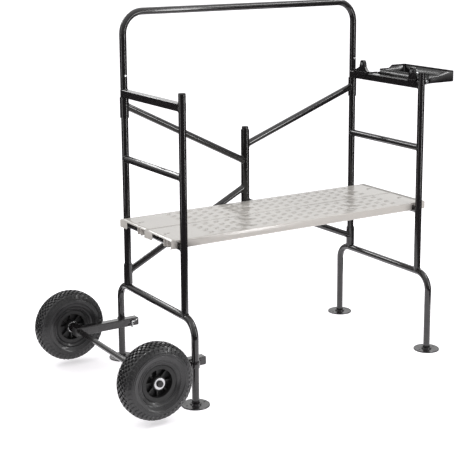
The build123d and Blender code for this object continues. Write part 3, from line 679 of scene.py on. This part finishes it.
# ---------------------------------------------------------------- wing nuts
# Forged wing nuts, zinc plated: a tapered boss with two upswept rounded wings. Each stands on
# its seat and turns about its bolt.
BOSS = ((8.0, 0.0), (8.0, 3.2), (7.2, 5.6), (6.2, 8.0), (5.7, 10.4), (4.9, 11.0))  # radius, height in mm
WING = (  # out, up, half width, half thickness, in mm
    (3.0, 4.6, 3.4, 2.3),
    (7.5, 5.6, 3.8, 1.9),
    (11.5, 8.6, 4.3, 1.7),
    (14.6, 12.4, 4.4, 1.6),
    (16.3, 15.8, 3.4, 1.5),
    (16.9, 18.2, 1.6, 1.1),
)
BORE = 4.0


def wing_nut(node, body, axis, lean):
    """A wing nut in place of a plain one, its wings leaning that way across its axis."""
    low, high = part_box(node)
    axis, lean = Vector(axis), Vector(lean).normalized()
    seat = (low + high) / 2
    for part in range(3):
        if axis[part]:
            seat[part] = low[part] if axis[part] > 0 else high[part]
    across = axis.cross(lean)

    def at(out, up, through=0.0):
        return seat + (lean * out + axis * up + across * through) * MM

    shell = Shell()
    profile = [(BORE, 0.0), *BOSS, (BORE, 11.0)]
    turns = [2 * math.pi * step / 24 for step in range(24)]
    loops = [[at(r * math.cos(a), up, r * math.sin(a)) for a in turns] for r, up in profile]
    for first, second in zip(loops, loops[1:] + loops[:1]):
        shell.bridge(first, second)
    for way in (1, -1):
        ring_turns = [2 * math.pi * step / 10 for step in range(10)]
        loops = []
        for number, (out, up, wide, thick) in enumerate(WING):
            before, after = WING[max(0, number - 1)], WING[min(len(WING) - 1, number + 1)]
            run = Vector((after[0] - before[0], after[1] - before[1])).normalized()
            loops.append([
                at(
                    way * (out - run.y * wide * math.cos(a)),
                    up + run.x * wide * math.cos(a),
                    thick * math.sin(a),
                )
                for a in ring_turns
            ])
        for first, second in zip(loops, loops[1:]):
            shell.bridge(first, second)
        shell.face(*loops[0])
        shell.face(*loops[-1])
    piece = add_piece(node + "_forging", shell.mesh(), zinc, body, [node], sharp=60)
    smooth = piece.modifiers.new("smooth", "SUBSURF")
    smooth.levels = smooth.render_levels = 1


wing_nut("bracket_wing_nut", "bracket_nut", (1, 0, 0), (0, 0.8, 0.6))
wing_nut("front_clamp_wing_nut", "front_clamp_nut", (0, 1, 0), (0.6, 0, 0.8))
wing_nut("rear_clamp_wing_nut", "rear_clamp_nut", (0, -1, 0), (0.6, 0, 0.8))

# ---------------------------------------------------------------- wheel carriage
# A 20 mm steel axle runs through two arms of 30 mm square tube. Plastic plugs close the arms,
# and a strap round each leg, bolted through, clamps the carriage to the left legs.
axle_enamel = make_enamel("axle_enamel", (0.008, 0.0075, 0.008), (0.014, 0.013, 0.013), 0.12)
finish_nodes(axle_enamel, "axle")
for name in ("front_wheel_arm", "rear_wheel_arm"):
    finish_nodes(black_enamel, name)
finish_nodes(black_enamel, "leg_clamp_straps", "axle_spacers")
soften("leg_clamp_straps", 0.5 * MM)
finish_nodes(plastic, "arm_plugs")
soften("arm_plugs", 0.8 * MM)
finish_nodes(black_enamel, "clamp_bolts")
soften("clamp_bolts", 0.4 * MM)

# ---------------------------------------------------------------- rims and bearings
# Each wheel has a molded black plastic rim with eight ribs, a steel ball bearing pressed into
# each end of the hub, and a push-on cap over the axle's end. A rubber valve stands in the well.
rim_plastic = Finish("rim_plastic", {"Specular IOR Level": 0.4})
grain = rim_plastic.noise(850.0, 2.0)
drift = rim_plastic.noise(22.0, 3.0)
black = rim_plastic.mix((0.006, 0.006, 0.0065), (0.014, 0.0135, 0.0135), drift)
rim_plastic.surface(black, 0.34 + 0.2 * grain)
rim_plastic.bump(grain, 0.1 * MM, 0.5)
bright_steel = make_plated("bearing_steel", (0.62, 0.62, 0.63), 0.2)
finish_nodes(rim_plastic, "front_rim", "rear_rim")
finish_nodes(bright_steel, "front_wheel_bearings", "rear_wheel_bearings")
finish_nodes(plastic, "axle_caps")
for name in ("front_rim", "rear_rim", "axle_caps", "front_wheel_bearings", "rear_wheel_bearings"):
    soften(name, 0.6 * MM)

# ---------------------------------------------------------------- tires
# Pneumatic tires of black rubber: smooth bowed sidewalls with three molded rings, and rows of
# small knobs, staggered from row to row, that wrap over the shoulders.
rubber = Finish("tire_rubber", {"Specular IOR Level": 0.5})
fine = rubber.noise(1100.0, 3.0)
patchy = rubber.noise(30.0, 4.0)
dusty = rubber.mask(rubber.noise(120.0, 5.0), 0.5, 0.8)
grey = rubber.mix((0.006, 0.0058, 0.0064), (0.012, 0.0115, 0.0124), patchy)
rubber.feed(rubber.shader.inputs["Coat Weight"], 0.5 * patchy)
rubber.surface(rubber.mix(grey, (0.045, 0.043, 0.042), dusty * 0.15), 0.26 + 0.14 * patchy + 0.1 * fine)
rubber.bump(fine * 0.6 + patchy * 0.4, 0.2 * MM, 0.5)

TREAD_DEPTH = 5.0 * MM
BLOCK_COUNT = 44
BLOCK_LIP = 1.4 * MM
WHEEL_R = 130 * MM
TREAD_HALF = 34.5 * MM
SHOULDER_DROP = 9.0 * MM
LUG_R = (108, 122.5)  # where a side lug starts and ends, in mm
LUG_Y = 39.4  # the lugs' feet, from the middle plane, in mm
LUG_LEAN = 0.42
sidewall = (  # radius and distance from the middle plane, from the bead to the shoulder, in mm
    (57.6, 26.9), (61.0, 28.2), (63.5, 29.8), (64.6, 32.4), (67.6, 33.6), (68.8, 32.6), (71.0, 33.4),
    (75.0, 35.6), (76.0, 37.6), (78.6, 38.4), (79.6, 37.2), (86.0, 38.9), (92.0, 39.8),
    (93.0, 40.9), (94.4, 40.9), (95.2, 40.2), (98.0, 40.2), (98.8, 40.9), (100.2, 40.8), (101.0, 40.0),
    (103.6, 39.7), (104.4, 40.3), (105.8, 40.1), (106.6, 39.2), (110.0, 38.0), (113.5, 36.0),
)


def crown(y):
    """The radius of the tread's outside at a distance y from the middle plane."""
    return WHEEL_R - SHOULDER_DROP * (abs(y) / TREAD_HALF) ** 3.2


def carcass(center):
    half = [(r * MM, y * MM) for r, y in sidewall]
    road = [(crown(y) - TREAD_DEPTH, y) for y in (TREAD_HALF * part / 6 for part in range(5, -6, -1))]
    outside = half + road + [(r, -y) for r, y in reversed(half)]
    bore_r = half[0][0]
    lining = [(bore_r, -24 * MM), (92 * MM, -33 * MM), (119 * MM, -18 * MM)]
    lining += [(r, -y) for r, y in reversed(lining)]
    outline = outside + [(lining[0][0], lining[0][1])] + lining[1:]
    turns = [2 * math.pi * step / 120 for step in range(120)]
    shell = Shell()
    rings = []
    for r, y in outline:
        rings.append([center + Vector((r * math.cos(a), y, r * math.sin(a))) for a in turns])
    for first, second in zip(rings, rings[1:] + rings[:1]):
        shell.bridge(first, second)
    return shell


def tread_blocks(center):
    """Rows of knobs, each a closed solid rooted in the carcass."""
    shell = Shell()
    pitch = 2 * math.pi / BLOCK_COUNT
    rows = (  # edges across the tread, slant of the block, share of the pitch, offset in pitches
        (-4.4, 4.4, 0.0, 0.56, 0.0),
        (6.2, 14.4, 0.06, 0.56, 0.5),
        (-14.4, -6.2, -0.06, 0.56, 0.5),
        (16.2, 24.6, -0.06, 0.56, 0.0),
        (-24.6, -16.2, 0.06, 0.56, 0.0),
        (26.4, 34.5, 0.0, 0.58, 0.5),
        (-34.5, -26.4, 0.0, 0.58, 0.5),
    )
    for near, far, slant, share, offset in rows:
        for number in range(BLOCK_COUNT):
            start = (number + offset - share / 2) * pitch
            end = start + share * pitch
            lean = slant * pitch

            def loop(depth, inset):
                gap = inset / WHEEL_R
                corners = (
                    (near * MM + inset, start + gap - lean),
                    (near * MM + inset, end - gap - lean),
                    (far * MM - inset, end - gap + lean),
                    (far * MM - inset, start + gap + lean),
                )
                places = []
                for y, turn in corners:
                    r = crown(y) - depth
                    places.append(center + Vector((r * math.cos(turn), y, r * math.sin(turn))))
                return places

            loops = [loop(TREAD_DEPTH + 2 * MM, -0.6 * MM), loop(BLOCK_LIP, 0), loop(0.15 * MM, BLOCK_LIP)]
            for first, second in zip(loops, loops[1:]):
                shell.bridge(first, second)
            shell.face(*loops[0])
            shell.face(*loops[-1])
    # Side lugs: short blocks round each shoulder, one between each two outer knobs.
    for way in (1, -1):
        for number in range(BLOCK_COUNT):
            turn = number * pitch
            loops = []
            for proud, shrink in ((-3.0, 0.0), (0.4, 0.0), (1.2, 0.9)):
                half = 0.24 * pitch - shrink * MM / WHEEL_R
                inner_r, outer_r = LUG_R[0] + shrink, LUG_R[1] - shrink
                corners = ((inner_r, -half), (inner_r, half), (outer_r, half), (outer_r, -half))
                loops.append([
                    center
                    + Vector((
                        r * MM * math.cos(turn + a),
                        way * (LUG_Y + proud - max(0, (r - LUG_R[0]) * LUG_LEAN)) * MM,
                        r * MM * math.sin(turn + a),
                    ))
                    for r, a in corners
                ])
            for first, second in zip(loops, loops[1:]):
                shell.bridge(first, second)
            shell.face(*loops[0])
            shell.face(*loops[-1])
    return shell


for row in ("front", "rear"):
    center = middle(f"{row}_tire")
    body = f"{row}_wheel"
    add_piece(f"{row}_tire_carcass", carcass(center).mesh(), rubber, body, [f"{row}_tire"])
    add_piece(f"{row}_tire_tread", tread_blocks(center).mesh(), rubber, body, sharp=30)
    outward = math.copysign(1, center.y)
    stem = center + Vector((-26 * MM, 0, 32 * MM))
    round_bar(
        f"{row}_valve_stem",
        [stem + Vector((0, outward * y * MM, 0)) for y in (6, 12, 24)],
        3.2 * MM,
        rubber,
        body,
        closed=False,
    )

# ---------------------------------------------------------------- floor, light and camera
# A white paper floor and a white backdrop. Tall narrow softboxes on both sides draw the streaks
# on the enamel, two high ones draw the lines on the level tubes and the tires' knobs, and a wide
# one behind glances off the tops of the rungs and planks. A black ring keeps the tubes dark.
FLOOR_HALF = 40.0
studio = bpy.data.meshes.new("studio_floor")
studio.from_pydata(
    [(x * FLOOR_HALF, y * FLOOR_HALF, -0.2 * MM) for x, y in ((-1, -1), (1, -1), (1, 1), (-1, 1))],
    [],
    [(0, 1, 2, 3)],
)
floor_paper = Finish("floor_paper", {"Specular IOR Level": 0.0, "Emission Color": (1, 0.985, 1)})
floor_paper.shader.inputs["Emission Strength"].default_value = 0.42
shade = floor_paper.noise(3.0, 2.0)
floor_paper.surface(floor_paper.mix((0.86, 0.845, 0.87), (0.88, 0.865, 0.89), shade), 0.85 + 0.1 * shade)
studio.materials.append(floor_paper.material)
floor = bpy.data.objects.new("studio_floor", studio)
scene.collection.objects.link(floor)

RING_R = (1.2, 30.0)
ring_mesh = bpy.data.meshes.new("dark_ring")
ring_turns = [2 * math.pi * step / 48 for step in range(48)]
ring_mesh.from_pydata(
    [(r * math.cos(a), r * math.sin(a), 4 * MM) for r in RING_R for a in ring_turns],
    [],
    [(step, (step + 1) % 48, 48 + (step + 1) % 48, 48 + step) for step in range(48)],
)
ring_cloth = Finish("ring_cloth", {"Specular IOR Level": 0.0})
nap = ring_cloth.noise(40.0, 2.0)
ring_cloth.surface(ring_cloth.mix((0.03, 0.03, 0.032), (0.05, 0.048, 0.05), nap), 0.9 + 0.05 * nap)
ring_mesh.materials.append(ring_cloth.material)
ring = bpy.data.objects.new("dark_ring", ring_mesh)
ring.visible_camera = ring.visible_diffuse = ring.visible_shadow = ring.visible_transmission = False
scene.collection.objects.link(ring)

world = bpy.data.worlds.new("studio")
world.use_nodes = True
sky = world.node_tree
direction = sky.nodes.new("ShaderNodeTexCoord")
height = sky.nodes.new("ShaderNodeSeparateXYZ")
level_range = sky.nodes.new("ShaderNodeMapRange")
ray = sky.nodes.new("ShaderNodeLightPath")
seen = sky.nodes.new("ShaderNodeMath")
seen.operation = "MAXIMUM"
for name, value in (("From Min", 0.0), ("From Max", 0.9), ("To Min", 0.22), ("To Max", 1.25)):
    level_range.inputs[name].default_value = value
sky.links.new(direction.outputs["Generated"], height.inputs[0])
sky.links.new(height.outputs["Z"], level_range.inputs["Value"])
sky.links.new(level_range.outputs["Result"], seen.inputs[0])
sky.links.new(ray.outputs["Is Camera Ray"], seen.inputs[1])
sky.links.new(seen.outputs[0], sky.nodes["Background"].inputs["Strength"])
sky.nodes["Background"].inputs["Color"].default_value = (1, 1, 1, 1)
scene.world = world

lamps = {  # place, width, height, power, and the height that the lamp faces
    "right_strip": ((1.45, -2.75, 1.15), 0.26, 2.3, 26, 1.15),
    "left_strip": ((-3.0, 0.15, 1.15), 0.5, 2.3, 13, 1.15),
    "high_right": ((2.1, -1.3, 3.2), 2.4, 0.3, 34, 0.9),
    "high_back": ((-1.1, 2.9, 2.6), 3.0, 0.4, 34, 0.2),
    "back": ((2.6, 3.4, 1.75), 5.0, 1.5, 13, 0.8),
}
for name, (place, width, height, power, facing) in lamps.items():
    light = bpy.data.lights.new(name, "AREA")
    light.shape = "RECTANGLE"
    light.size, light.size_y, light.energy = width, height, power
    lamp = bpy.data.objects.new(name, light)
    lamp.location = place
    lamp.rotation_euler = (Vector((0, 0, facing)) - Vector(place)).to_track_quat("-Z", "Y").to_euler()
    lamp.visible_camera = False
    scene.collection.objects.link(lamp)

CAMERA_PLACE = (-2.3587, -3.6116, 1.5908)
HEADING, TILT, ROLL = 0.5572, -0.1950, -0.0055
view_way = Vector((math.sin(HEADING) * math.cos(TILT), math.cos(HEADING) * math.cos(TILT), math.sin(TILT)))
level = Vector((math.cos(HEADING), -math.sin(HEADING), 0))
upright = level.cross(view_way)
across = level * math.cos(ROLL) + upright * math.sin(ROLL)
upward = upright * math.cos(ROLL) - level * math.sin(ROLL)
lens = bpy.data.cameras.new("camera")
lens.lens = 92.04
lens.sensor_width = 36
lens.shift_y = -0.15
camera = bpy.data.objects.new("camera", lens)
turned = Matrix((across, upward, -view_way)).transposed().to_4x4()
camera.matrix_world = Matrix.Translation(CAMERA_PLACE) @ turned
scene.collection.objects.link(camera)
scene.camera = camera
scene.view_settings.view_transform = "Standard"
